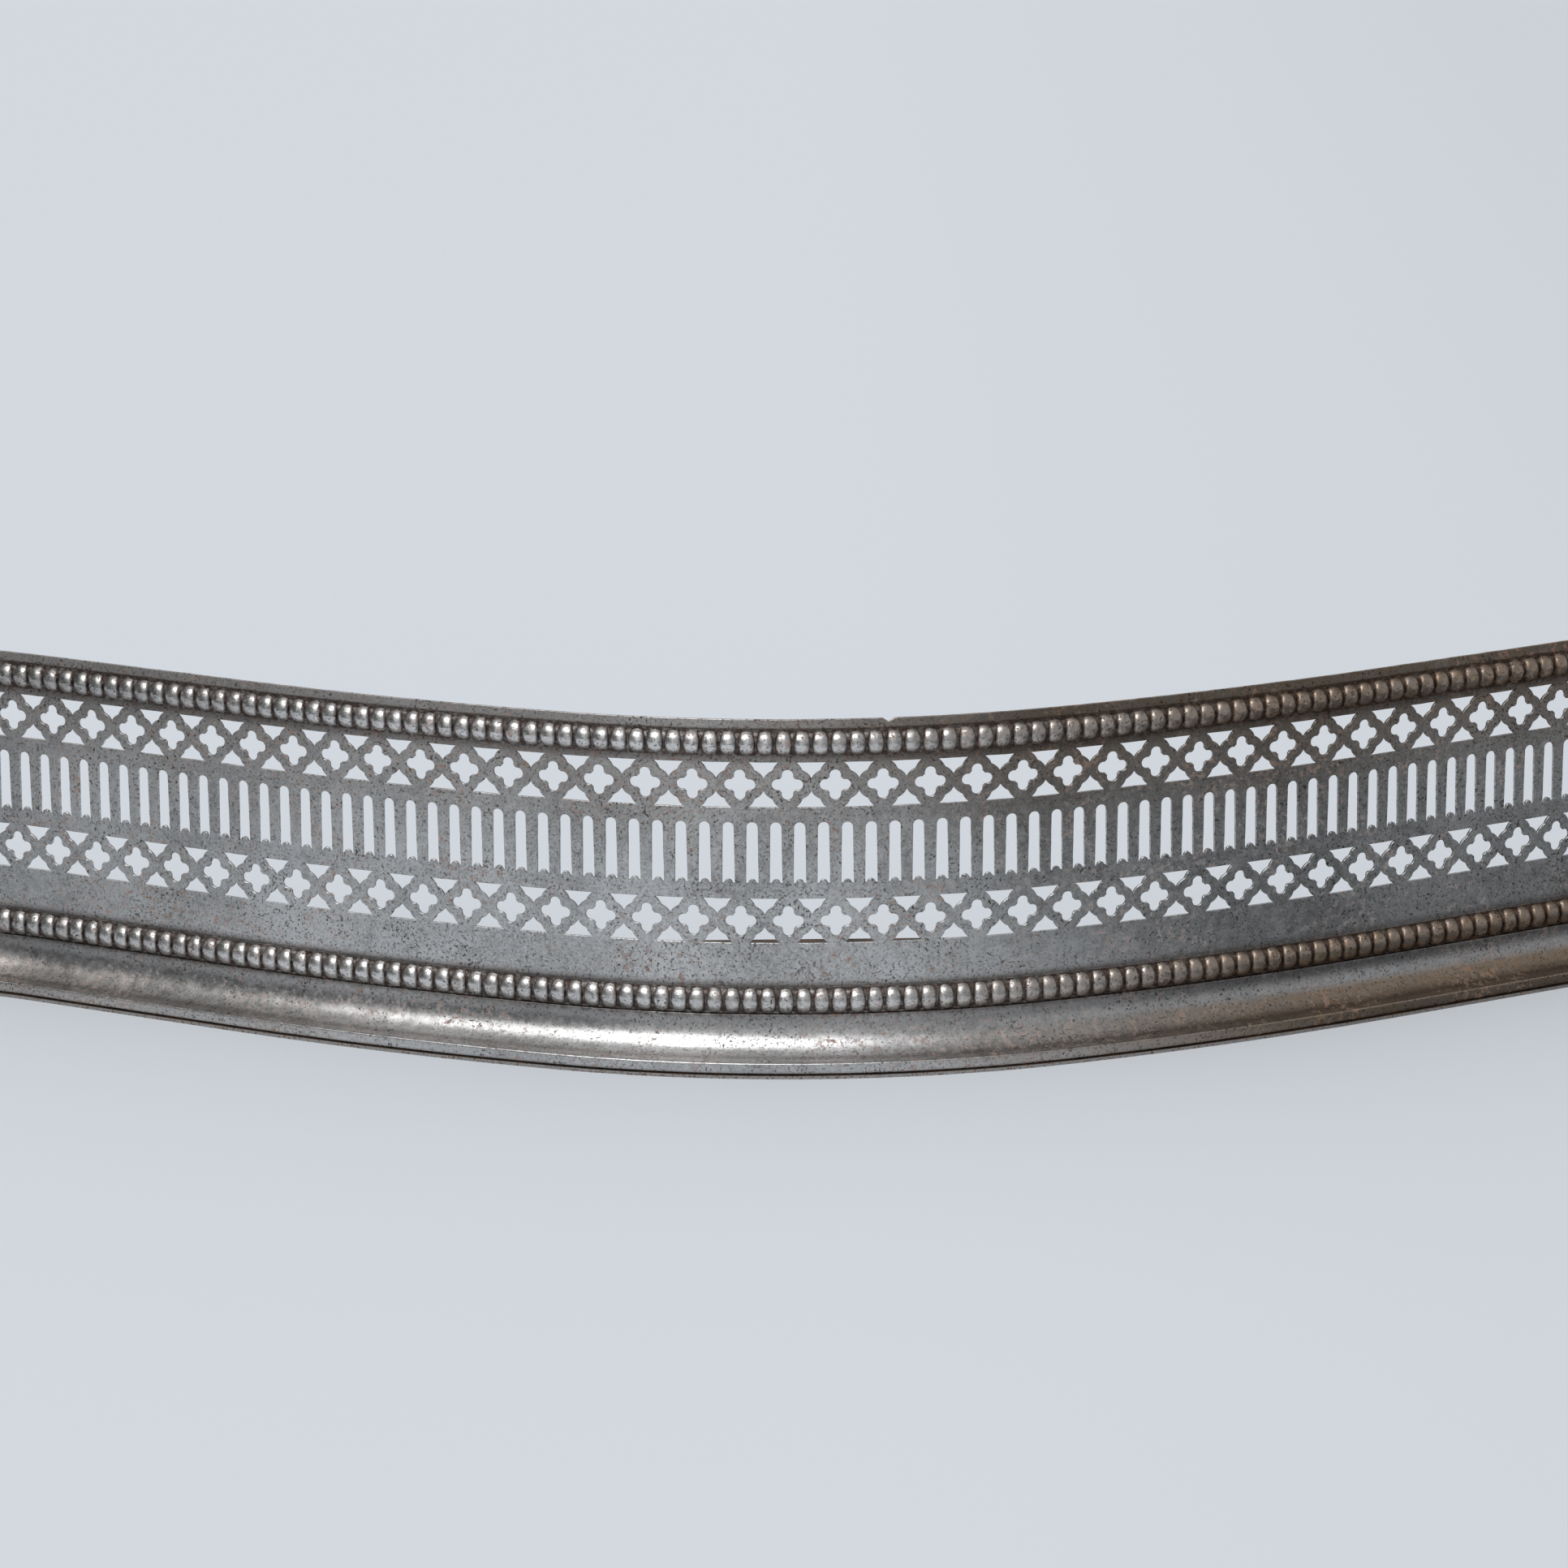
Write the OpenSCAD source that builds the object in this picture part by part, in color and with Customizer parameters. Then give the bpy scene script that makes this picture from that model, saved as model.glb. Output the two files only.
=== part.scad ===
// Serpentine hearth fender: a pierced steel gallery, two beaded strips, a coved base moulding
// and an iron floor plate, riveted together. The front faces -Y, and Z is up from the floor.

/* [Plan of the front] */
// Radius of the central bow, at the front face of the gallery
bow_r = 380; // [320:5:460]
// Half angle of the central bow
bow_angle = 17.5; // [14:0.5:20]
// Radius of the flatter shoulders beside the bow
shoulder_r = 1050; // [800:10:1300]
// Angle of the flanks to the wall
flank_angle = 26.5; // [23:0.5:29]
// Length of each straight flank
flank_l = 110; // [80:1:140]
// Radius of the hollow where each flank turns along the wall
hollow_r = 260; // [200:5:320]
// Length of each straight front at the ends
end_front_l = 60; // [48:1:90]
// Radius of the two corners
corner_r = 30; // [25:1:38]
// Length of each straight return behind its corner
return_l = 4.3; // [3:0.1:12]

/* [Gallery sheet] */
// Height of the fender from the floor to the gallery's top edge
fender_h = 166.5; // [160:0.5:200]
// Thickness of the gallery sheet
sheet_t = 1.2; // [1:0.1:1.6]
// Top edge down to the centres of the upper quatrefoils
upper_row_drop = 31.1; // [30:0.1:33]
// Half height of a row of quatrefoils in their frames
row_half_h = 10.75; // [10.4:0.05:11.2]
// Height of the plain rails above and below the slots
rail_h = 7.1; // [5:0.1:9]
// Distance from one quatrefoil to the next
foil_pitch = 22; // [21:0.1:22]
// Quatrefoils from the middle to the plain stile on each side
centre_foils = 21; // [18:1:21]
// Quatrefoils in each end length
end_foils = 6; // [3:1:6]

/* [Piercings] */
// Radius of a quatrefoil's lobes
lobe_r = 2.65; // [2.3:0.05:2.9]
// Quatrefoil's centre to the centres of its lobes
lobe_offset = 4.6; // [4.2:0.05:4.8]
// Radius of the round body between the lobes
foil_body_r = 4.55; // [4:0.05:5]
// Height of the neck between two frames
neck_h = 5.9; // [4:0.1:7]
// Width of a frame where it meets the rail
frame_foot_w = 7.4; // [6:0.1:9]
// Height of the slots
slot_h = 29.6; // [20:0.1:32]
// Width of a slot at its round head
slot_head_w = 5.2; // [4:0.1:6]
// Width of a slot at its foot
slot_foot_w = 5.9; // [4.5:0.1:6.5]
// Rise of the round hump in the foot of a slot
slot_hump_h = 2.1; // [1:0.1:2.5]

/* [Beaded strips] */
// Height of the plain band above the upper beads
top_band_h = 5.1; // [4:0.1:6]
// Height of a bead
bead_h = 11.4; // [9:0.1:12]
// How far a bead stands out of the strip's flange
bead_out = 4.2; // [3.5:0.1:4.6]
// Crown of a bead along the strip
bead_crown = 1.1; // [0.6:0.05:1.3]
// Gap between two beads
bead_gap = 0.5; // [0.3:0.05:0.8]
// How far the core between the beads lies below them
core_drop = 1.6; // [1.2:0.1:2]
// Height of the strip's flange
flange_h = 12.4; // [12.1:0.1:13]
// Thickness of the strip's flange
flange_t = 0.8; // [0.6:0.1:1]
// Beads on the upper strip, from the middle to each end
upper_beads = 74; // [68:1:76]
// Beads on the lower strip, from the middle to each end
lower_beads = 76; // [70:1:78]
// Beads of the lower strip from the middle to its joints
lower_joint_beads = 61; // [55:1:63]
// Middle of the lower beads above the floor
lower_bead_z = 32.2; // [32.1:0.1:36]

/* [Base moulding and floor plate] */
// Thickness of the floor plate
plate_t = 1.6; // [1.2:0.1:2.5]
// How far the floor plate shows in front of the moulding
plate_lip = 0.5; // [0:0.1:2]
// Thickness of the moulding's metal
moulding_t = 1.2; // [1:0.1:1.5]
// Radius of the cove
cove_r = 16.4; // [14:0.1:17]
// How far the small fillet over the cove stands out
fillet_out = 3.6; // [3.2:0.1:4.2]
// Top of the small fillet above the floor
fillet_z = 25.9; // [25:0.1:26]
// Height of the small fillet
fillet_h = 2.1; // [1.8:0.1:3]
// Width of the moulding's foot on the plate
foot_w = 11; // [9:0.5:13]
// Radius of the bend between the upright fillet and the foot
foot_bend_r = 1.6; // [1.5:0.1:2.2]

/* [Knees, straps and rivets] */
// Width of a knee
knee_w = 16; // [12:1:20]
// Thickness of a knee
knee_t = 2.4; // [2:0.1:3]
// Height of a knee's upright leg
knee_h = 36; // [35:1:44]
// Length of a knee's foot
knee_l = 28; // [24:1:29]
// Middle to the first pair of knees, along the sheet
knee_1_s = 135; // [120:5:160]
// Middle to the second pair of knees
knee_2_s = 332; // [300:2:350]
// Middle to the knees of the end lengths
knee_3_s = 528; // [524:1:540]
// Width of the strap behind a joint of the sheet
strap_w = 16; // [12:1:18]
// Thickness of a strap
strap_t = 1.5; // [1.2:0.1:2]
// Radius of a rivet's shank
rivet_r = 1.2; // [1:0.05:1.3]
// Radius of a rivet's domed head
head_r = 2.3; // [2:0.1:2.6]
// Height of a rivet's domed head
head_h = 1.1; // [0.8:0.1:1.4]
// Depth of the countersink at a rivet's flush end
sink_h = 0.7; // [0.5:0.05:0.9]

/* [Fits] */
// Gap between curved faces that are riveted together
lap_gap = 0.15; // [0.1:0.05:0.2]
// Clearance round a rivet's shank
rivet_gap = 0.1; // [0.05:0.05:0.15]
// Gap under a rivet's head
head_gap = 0.05; // [0.02:0.01:0.1]

/* [Hidden] */
$fn = 48;

// Facets in a full turn of the long curves
sweep_fn = 360;
steel = [0.52, 0.53, 0.52];
worn_steel = [0.62, 0.62, 0.61];
iron = [0.30, 0.25, 0.21];
deg = 180 / PI;
eps = 0.01;
// Overlap of neighbouring stretches of a sweep, and the step between them
seam_lap = 0.5;
seam_step = 0.05;
// Piercing tools are this long, enough to pass the sheet on the corner.
cut_l = 8;

// Stretches of the front from the middle to one end: length, and curvature in degrees per mm,
// positive where the front turns back towards the wall.
STRETCHES = [
    [bow_r * bow_angle / deg, deg / bow_r],
    [shoulder_r * (flank_angle - bow_angle) / deg, deg / shoulder_r],
    [flank_l, 0],
    [hollow_r * flank_angle / deg, -deg / hollow_r],
    [end_front_l, 0],
    [corner_r * 90 / deg, deg / corner_r],
    [return_l, 0]
];
stretches = len(STRETCHES);

// A place on the front is [x, y, heading]. This is the place l mm further on at curvature k.
function after(p, l, k) =
    k == 0
    ? [p[0] + l * cos(p[2]), p[1] + l * sin(p[2]), p[2]]
    : let(h = p[2] + l * k)
      [p[0] + deg / k * (sin(h) - sin(p[2])), p[1] - deg / k * (cos(h) - cos(p[2])), h];

// The place where stretch i starts, and the length of the front up to it
function start(i) =
    i == 0 ? [0, 0, 0] : after(start(i - 1), STRETCHES[i - 1][0], STRETCHES[i - 1][1]);
function run_to(i) = i == 0 ? 0 : run_to(i - 1) + STRETCHES[i - 1][0];
STARTS = [for (i = [0 : stretches]) start(i)];
RUNS = [for (i = [0 : stretches]) run_to(i)];

// The place s mm from the middle
function on_front(s, i = 0) =
    i == stretches - 1 || s < RUNS[i + 1]
    ? after(STARTS[i], s - RUNS[i], STRETCHES[i][1])
    : on_front(s, i + 1);

// The floor point d mm in front of a place
function ahead(p, d) = [p[0] + d * sin(p[2]), p[1] - d * cos(p[2])];

half_run = RUNS[stretches];
back_line = STARTS[stretches][1];
moulding_out = fillet_out + cove_r;
plate_out = moulding_out + plate_lip;
// The origin is on the floor under the middle of the whole fender.
shift_y = (plate_out - back_line) / 2;

// Heights
upper_row_z = fender_h - upper_row_drop;
slot_foot_z = upper_row_z - row_half_h - rail_h - slot_h;
lower_row_z = slot_foot_z - rail_h - row_half_h;
upper_bead_z = fender_h - top_band_h - bead_h / 2;
cove_z = fillet_z - fillet_h;
arris_z = cove_z - cove_r;

// Joints, by their distance from the middle
gallery_joint_s = (centre_foils + 0.5) * foil_pitch;
upper_bead_l = half_run / upper_beads;
lower_bead_l = half_run / lower_beads;
lower_joint_s = lower_joint_beads * lower_bead_l;
moulding_joint_s = RUNS[4];

// Layers in front of the sheet and behind it
lower_strip_out = 2 * lap_gap + moulding_t;
knee_gap = lap_gap + knee_w * knee_w / (8 * bow_r);
knee_in = sheet_t + knee_gap;

// Rivets: three in each bay between two knees, and one in each end beyond the last knee
KNEE_S = [0, knee_1_s, knee_2_s, knee_3_s];
KNEES = [-knee_3_s, -knee_2_s, -knee_1_s, 0, knee_1_s, knee_2_s, knee_3_s];
BAY_RIVETS = [
    for (i = [0 : 2], share = [1 / 6, 1 / 2, 5 / 6])
        KNEE_S[i] + share * (KNEE_S[i + 1] - KNEE_S[i])
];
END_RIVETS = [knee_3_s + 0.3 * (half_run - knee_3_s)];
SIDE_RIVETS = concat(BAY_RIVETS, END_RIVETS);
RIVETS = concat([for (s = SIDE_RIVETS) -s], SIDE_RIVETS);
blind_l = 2;
foot_rivet_out = moulding_out - foot_w / 2;
knee_rivet_z = plate_t + 10;
foot_rivet_in = knee_in + knee_l - 8;
STRAP_RIVET_X = [-strap_w / 4, strap_w / 4];
STRAP_RIVET_Z = [
    lower_bead_z + 13, lower_row_z + 6, upper_row_z - 6, fender_h - top_band_h - bead_h - 9
];

// ---- placing and sweeping along the front ----

// Puts its children s mm from the middle: X along the front, Y into the hearth, origin on the
// front face of the gallery at floor level.
module place(s) {
    p = on_front(abs(s));
    mirror([s < 0 ? 1 : 0, 0, 0])
        translate([p[0], p[1] + shift_y, 0])
            rotate([0, 0, p[2]])
                children();
}

// Sweeps a profile (x outward from the gallery's face, y up) along stretch i, from a to b
module sweep_stretch(i, a, b) {
    k = STRETCHES[i][1];
    p = after(STARTS[i], a, k);
    r = k == 0 ? 0 : deg / abs(k);
    translate([p[0], p[1], 0])
        rotate([0, 0, p[2]])
            if (k == 0)
                translate([b - a, 0, 0])
                    rotate([90, 0, -90])
                        linear_extrude(b - a)
                            children();
            else if (k > 0)
                translate([0, r, 0])
                    rotate([0, 0, -90])
                        rotate_extrude(angle = k * (b - a), $fn = sweep_fn)
                            translate([r, 0])
                                children();
            else
                translate([0, -r, 0])
                    mirror([1, 0, 0])
                        rotate([0, 0, 90])
                            rotate_extrude(angle = -k * (b - a), $fn = sweep_fn)
                                translate([r, 0])
                                    mirror([1, 0])
                                        children();
}

// Sweeps a profile along the stretches beyond the bow on the +X side, from a to b mm. Each runs a
// little into the next, and the profile stands $step off in every second one, so that no two
// faces lie in one another at a seam.
module sweep_side(a, b)
    for (i = [1 : stretches - 1]) {
        from = max(a, RUNS[i]);
        to = min(b, RUNS[i + 1] + seam_lap);
        if (to - from > seam_lap)
            sweep_stretch(i, from - RUNS[i], to - RUNS[i])
                let($step = i % 2 * seam_step)
                    children();
    }

// Sweeps a profile from a to b mm, where the middle is 0 and the -X side is negative
module sweep(a, b)
    translate([0, shift_y, 0]) {
        from = max(a, -RUNS[1] - seam_lap);
        to = min(b, RUNS[1] + seam_lap);
        if (from < to)
            sweep_stretch(0, from, to)
                let($step = 0)
                    children();
        sweep_side(a, b)
            children();
        mirror([1, 0, 0])
            sweep_side(-b, -a)
                children();
    }

// ---- rivets and their holes ----

// Outline of a rivet of grip l, from its flush end up: countersink, shank and domed head
module rivet_outline(l, grow = 0, sunk = true) {
    ball_r = (head_r * head_r + head_h * head_h) / (2 * head_h);
    square([rivet_r + grow, l + eps]);
    if (sunk)
        polygon([[0, 0], [rivet_r + sink_h + grow, 0], [rivet_r + grow, sink_h], [0, sink_h]]);
    if (grow == 0)
        translate([0, l])
            intersection() {
                translate([0, head_h - ball_r])
                    circle(ball_r);
                square([head_r, head_h]);
            }
}

// A rivet up Z of grip l, with its flush end at 0
module rivet(l, sunk = true)
    rotate_extrude()
        rivet_outline(l, 0, sunk);

// The hole that it needs
module rivet_hole(l, sunk = true)
    rotate_extrude()
        rivet_outline(l, rivet_gap, sunk);

// Turns a rivet to run from the front into the hearth, with its flush end d mm ahead of the
// gallery's face
module inward(z, d)
    translate([0, -d, z])
        rotate([-90, 0, 0])
            children();

// Plain cross hole for a rivet in the strips and the sheet
module cross_hole(z)
    translate([0, 0, z])
        rotate([90, 0, 0])
            cylinder(r = rivet_r + rivet_gap, h = cut_l, center = true);

// ---- gallery ----

module quatrefoil() {
    circle(foil_body_r);
    for (turn = [0 : 90 : 270])
        rotate(turn) {
            translate([lobe_offset, 0])
                circle(lobe_r);
            translate([0, -lobe_r])
                square([lobe_offset, 2 * lobe_r]);
        }
}

// Three-sided opening between two frames: flat on the rail, scalloped along both frames
module spandrel() {
    side_x = foil_pitch / 2 - lobe_offset;
    side_r = norm([side_x, neck_h / 2]);
    top_r = norm([frame_foot_w / 2, row_half_h - lobe_offset]);
    difference() {
        translate([-foil_pitch / 2, 0])
            square([foil_pitch, row_half_h]);
        for (side = [-1, 1]) {
            translate([side * side_x, 0])
                circle(side_r);
            translate([side * foil_pitch / 2, lobe_offset])
                circle(top_r);
        }
    }
}

// Round-headed slot with a round hump in its foot
module slot() {
    head_z = slot_h - slot_head_w / 2;
    hump_half_w = slot_foot_w / 2 + 0.3;
    hump_r = (hump_half_w * hump_half_w + slot_hump_h * slot_hump_h) / (2 * slot_hump_h);
    difference() {
        union() {
            translate([0, head_z])
                circle(slot_head_w / 2);
            polygon([
                [-slot_foot_w / 2, 0], [slot_foot_w / 2, 0],
                [slot_head_w / 2, head_z], [-slot_head_w / 2, head_z]
            ]);
        }
        translate([0, slot_hump_h - hump_r])
            circle(hump_r);
    }
}

// Tool that cuts a flat shape through the sheet at s, with the shape's origin at height z
module pierce(s, z)
    place(s)
        translate([0, 0, z])
            rotate([90, 0, 0])
                linear_extrude(cut_l, center = true)
                    children();

// Cuts for the quatrefoils from number first to last, with all that goes between them
module piercings(first, last) {
    for (i = [first : last], z = [upper_row_z, lower_row_z])
        pierce((i + 0.5) * foil_pitch, z)
            quatrefoil();
    for (i = [first + 1 : last], z = [upper_row_z, lower_row_z], up = [0, 1])
        pierce(i * foil_pitch, z)
            mirror([0, up])
                spandrel();
    for (i = [2 * first : 2 * last + 1])
        pierce((i + 0.5) * foil_pitch / 2, slot_foot_z)
            slot();
}

// Holes in the sheet between a and b
module sheet_rivet_holes(a, b) {
    for (s = RIVETS, z = [upper_bead_z, lower_bead_z])
        if (s > a && s < b)
            place(s)
                cross_hole(z);
    for (s = KNEES, z = [knee_rivet_z, lower_bead_z])
        if (s > a && s < b)
            place(s)
                cross_hole(z);
}

// Sheet from a to b on the front, before it is pierced
module sheet(a, b)
    sweep(a, b)
        translate([$step - sheet_t, plate_t + $step])
            square([sheet_t, fender_h - plate_t - 2 * $step]);

// Countersunk holes in the sheet behind the straps
module strap_holes()
    for (x = STRAP_RIVET_X, z = STRAP_RIVET_Z)
        translate([x, 0, 0])
            inward(z, 0)
                rivet_hole(sheet_t + lap_gap + strap_t);

module gallery_centre() {
    reach = gallery_joint_s - lap_gap / 2;
    color(steel)
        difference() {
            sheet(-reach, reach);
            piercings(-centre_foils, centre_foils - 1);
            sheet_rivet_holes(-reach, reach);
            for (side = [-1, 1])
                place(side * gallery_joint_s)
                    strap_holes();
        }
}

module gallery_right() {
    from = gallery_joint_s + lap_gap / 2;
    first = centre_foils + 1;
    color(steel)
        difference() {
            sheet(from, half_run);
            piercings(first, first + end_foils - 1);
            sheet_rivet_holes(from, half_run);
            place(gallery_joint_s)
                strap_holes();
        }
}

module gallery_left()
    mirror([1, 0, 0])
        gallery_right();

module strap_right()
    color(iron)
        place(gallery_joint_s)
            difference() {
                translate([-strap_w / 2, sheet_t + lap_gap, lower_bead_z + bead_h / 2])
                    cube([strap_w, strap_t, fender_h - top_band_h - lower_bead_z - bead_h / 2]);
                strap_holes();
            }

module strap_left()
    mirror([1, 0, 0])
        strap_right();

// ---- beaded strips ----

// One bead, its axis along X, cut flat inside the flange of its strip
module bead(l) {
    out = flange_t + bead_out;
    r = (bead_h * bead_h / 4 + out * out) / (2 * out);
    long = l - bead_gap;
    crown_r = (long * long / 4 + bead_crown * bead_crown) / (2 * bead_crown);
    intersection() {
        translate([0, r - out, 0])
            rotate([0, 90, 0])
                rotate_extrude()
                    intersection() {
                        translate([0, -long / 2])
                            square([r, long]);
                        translate([r - crown_r, 0])
                            circle(crown_r);
                    }
        translate([-l, -2 * bead_h - flange_t / 2, -bead_h])
            cube([2 * l, 2 * bead_h, 2 * bead_h]);
    }
}

// Flange and round core that carry the beads, with the strip's middle at height 0
module strip_profile() {
    out = flange_t + bead_out;
    r = (bead_h * bead_h / 4 + out * out) / (2 * out);
    translate([0, -flange_h / 2])
        square([flange_t, flange_h]);
    intersection() {
        translate([out - r, 0])
            circle(r - core_drop);
        translate([0, -flange_h / 2])
            square([2 * out, flange_h]);
    }
}

// Strip of beads number first to last, d mm ahead of the gallery's face
module beaded_strip(first, last, l, d, z, holes) {
    difference() {
        union() {
            sweep(first * l + lap_gap / 2, (last + 1) * l - lap_gap / 2)
                translate([d + $step, z + $step])
                    strip_profile();
            for (i = [first : last])
                place((i + 0.5) * l)
                    translate([0, -d, z])
                        bead(l);
        }
        for (s = holes)
            if (s > first * l && s < (last + 1) * l)
                place(s)
                    inward(z, d + blind_l)
                        cylinder(r = rivet_r + rivet_gap, h = blind_l + cut_l / 2);
    }
}

// The two upper strips meet one bead to the left of the middle.
module upper_beads_left()
    color(worn_steel)
        beaded_strip(-upper_beads, -2, upper_bead_l, lap_gap, upper_bead_z, RIVETS);

module upper_beads_right()
    color(worn_steel)
        beaded_strip(-1, upper_beads - 1, upper_bead_l, lap_gap, upper_bead_z, RIVETS);

module lower_beads_centre()
    color(worn_steel)
        beaded_strip(
            -lower_joint_beads, lower_joint_beads - 1,
            lower_bead_l, lower_strip_out, lower_bead_z, RIVETS
        );

module lower_beads_right()
    color(worn_steel)
        beaded_strip(
            lower_joint_beads, lower_beads - 1,
            lower_bead_l, lower_strip_out, lower_bead_z, RIVETS
        );

module lower_beads_left()
    mirror([1, 0, 0])
        lower_beads_right();

// ---- base moulding ----

// Section: flange behind the beads, small fillet, cove, upright fillet, bend and foot
module moulding_profile() {
    t = moulding_t;
    translate([lap_gap, fillet_z - t])
        square([t, lower_bead_z + flange_h / 2 - fillet_z + t]);
    translate([lap_gap, fillet_z - t])
        square([fillet_out - lap_gap, t]);
    translate([fillet_out - t, cove_z])
        square([t, fillet_h]);
    intersection() {
        translate([moulding_out, cove_z])
            difference() {
                circle(cove_r + t);
                circle(cove_r);
            }
        translate([0, 0])
            square([moulding_out, cove_z]);
    }
    translate([moulding_out - t, plate_t + foot_bend_r])
        square([t, arris_z - plate_t - foot_bend_r]);
    intersection() {
        translate([moulding_out - foot_bend_r, plate_t + foot_bend_r])
            difference() {
                circle(foot_bend_r);
                circle(foot_bend_r - t);
            }
        translate([moulding_out - foot_bend_r, plate_t])
            square(foot_bend_r);
    }
    translate([moulding_out - foot_w, plate_t])
        square([foot_w - foot_bend_r, t]);
}

// Moulding from a to b, with its rivet holes
module moulding(a, b)
    color(steel)
        difference() {
            sweep(a, b)
                translate([$step, $step])
                    moulding_profile();
            for (s = RIVETS)
                if (s > a && s < b) {
                    place(s)
                        cross_hole(lower_bead_z);
                    place(s)
                        translate([0, -foot_rivet_out, 0])
                            cylinder(r = rivet_r + rivet_gap, h = plate_t + 2 * moulding_t);
                }
            for (s = KNEES)
                if (s > a && s < b)
                    place(s)
                        inward(lower_bead_z, lap_gap + moulding_t)
                            rivet_hole(cut_l / 2);
        }

module moulding_centre()
    moulding(-moulding_joint_s + lap_gap / 2, moulding_joint_s - lap_gap / 2);

module moulding_right()
    moulding(moulding_joint_s + lap_gap / 2, half_run);

module moulding_left()
    mirror([1, 0, 0])
        moulding_right();

// ---- floor plate ----

// Slice of a disc over stretch i, out to d mm ahead of the gallery's face
module stretch_disc(i, d) {
    k = STRETCHES[i][1];
    r = deg / abs(k);
    turn = k > 0 ? 1 : -1;
    p = STARTS[i];
    q = STARTS[i + 1];
    centre = ahead(p, -turn * r);
    reach = 2 * (r + d);
    translate(centre)
        intersection() {
            circle(r + turn * d, $fn = 2 * sweep_fn);
            polygon([
                [0, 0],
                turn * reach * [sin(p[2]), -cos(p[2])],
                turn * reach * [sin(q[2]), -cos(q[2])]
            ]);
        }
}

// Floor outline on the +X side, straight along the back
module half_outline(d) {
    reach = half_run;
    difference() {
        intersection() {
            union() {
                polygon(concat([[0, back_line]], [for (p = STARTS) ahead(p, d)]));
                for (i = [0 : stretches - 1])
                    if (STRETCHES[i][1] > 0)
                        stretch_disc(i, d);
            }
            translate([0, back_line - reach])
                square(reach);
        }
        for (i = [0 : stretches - 1])
            if (STRETCHES[i][1] < 0)
                stretch_disc(i, d);
    }
}

module base_plate()
    color(iron)
        difference() {
            translate([0, shift_y, 0])
                linear_extrude(plate_t) {
                    half_outline(plate_out);
                    mirror([1, 0])
                        half_outline(plate_out);
                }
            for (s = RIVETS)
                place(s)
                    translate([0, -foot_rivet_out, 0])
                        rivet_hole(2 * plate_t);
            for (s = KNEES)
                place(s)
                    translate([0, foot_rivet_in, 0])
                        rivet_hole(2 * plate_t);
        }

// ---- knees ----

// Bent strap of iron: upright leg against the sheet, foot on the plate
module knee_profile() {
    bend_r = knee_t + 1.5;
    difference() {
        union() {
            square([knee_t, knee_h]);
            square([knee_l, knee_t]);
            square(bend_r);
        }
        translate([bend_r, bend_r])
            circle(bend_r - knee_t);
        difference() {
            translate([-eps, -eps])
                square(bend_r);
            translate([bend_r, bend_r])
                circle(bend_r);
        }
    }
}

module knee(i)
    color(iron)
        place(KNEES[i])
            difference() {
                translate([0, knee_in, plate_t])
                    rotate([90, 0, 90])
                        linear_extrude(knee_w, center = true)
                            knee_profile();
                for (z = [knee_rivet_z, lower_bead_z])
                    cross_hole(z);
                translate([0, foot_rivet_in, 0])
                    cylinder(r = rivet_r + rivet_gap, h = plate_t + 2 * knee_t);
            }

module knee_1() knee(0);
module knee_2() knee(1);
module knee_3() knee(2);
module knee_4() knee(3);
module knee_5() knee(4);
module knee_6() knee(5);
module knee_7() knee(6);

// ---- rivets ----

module upper_bead_rivets()
    color(iron)
        for (s = RIVETS)
            place(s)
                inward(upper_bead_z, lap_gap + blind_l - head_gap)
                    rivet(lap_gap + blind_l + sheet_t, sunk = false);

module lower_bead_rivets()
    color(iron)
        for (s = RIVETS)
            place(s)
                inward(lower_bead_z, lower_strip_out + blind_l - head_gap)
                    rivet(lower_strip_out + blind_l + sheet_t, sunk = false);

module knee_rivets()
    color(iron)
        for (s = KNEES)
            place(s) {
                inward(lower_bead_z, lap_gap + moulding_t)
                    rivet(lap_gap + moulding_t + knee_in + knee_t + head_gap);
                inward(knee_rivet_z, 0)
                    rivet(knee_in + knee_t + head_gap, sunk = false);
            }

module plate_rivets()
    color(iron) {
        for (s = RIVETS)
            place(s)
                translate([0, -foot_rivet_out, 0])
                    rivet(plate_t + moulding_t + head_gap);
        for (s = KNEES)
            place(s)
                translate([0, foot_rivet_in, 0])
                    rivet(plate_t + knee_t + head_gap);
    }

module strap_rivets()
    color(iron)
        for (side = [-1, 1], x = STRAP_RIVET_X, z = STRAP_RIVET_Z)
            place(side * gallery_joint_s)
                translate([x, 0, 0])
                    inward(z, 0)
                        rivet(sheet_t + lap_gap + strap_t + head_gap);

base_plate();
gallery_centre();
gallery_left();
gallery_right();
strap_left();
strap_right();
upper_beads_left();
upper_beads_right();
lower_beads_centre();
lower_beads_left();
lower_beads_right();
moulding_centre();
moulding_left();
moulding_right();
knee_1();
knee_2();
knee_3();
knee_4();
knee_5();
knee_6();
knee_7();
upper_bead_rivets();
lower_bead_rivets();
knee_rivets();
plate_rivets();
strap_rivets();
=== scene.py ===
"""Looks of a serpentine hearth fender: a pierced steel gallery between two beaded strips, on a
coved base moulding and an iron floor plate. Worn polished steel, finely pitted, with some rust.

The front faces -Y. Sizes are in millimetres and turned into metres when a mesh is made.
"""

import math

import bmesh
import bpy
from mathutils import Matrix, Vector


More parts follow.
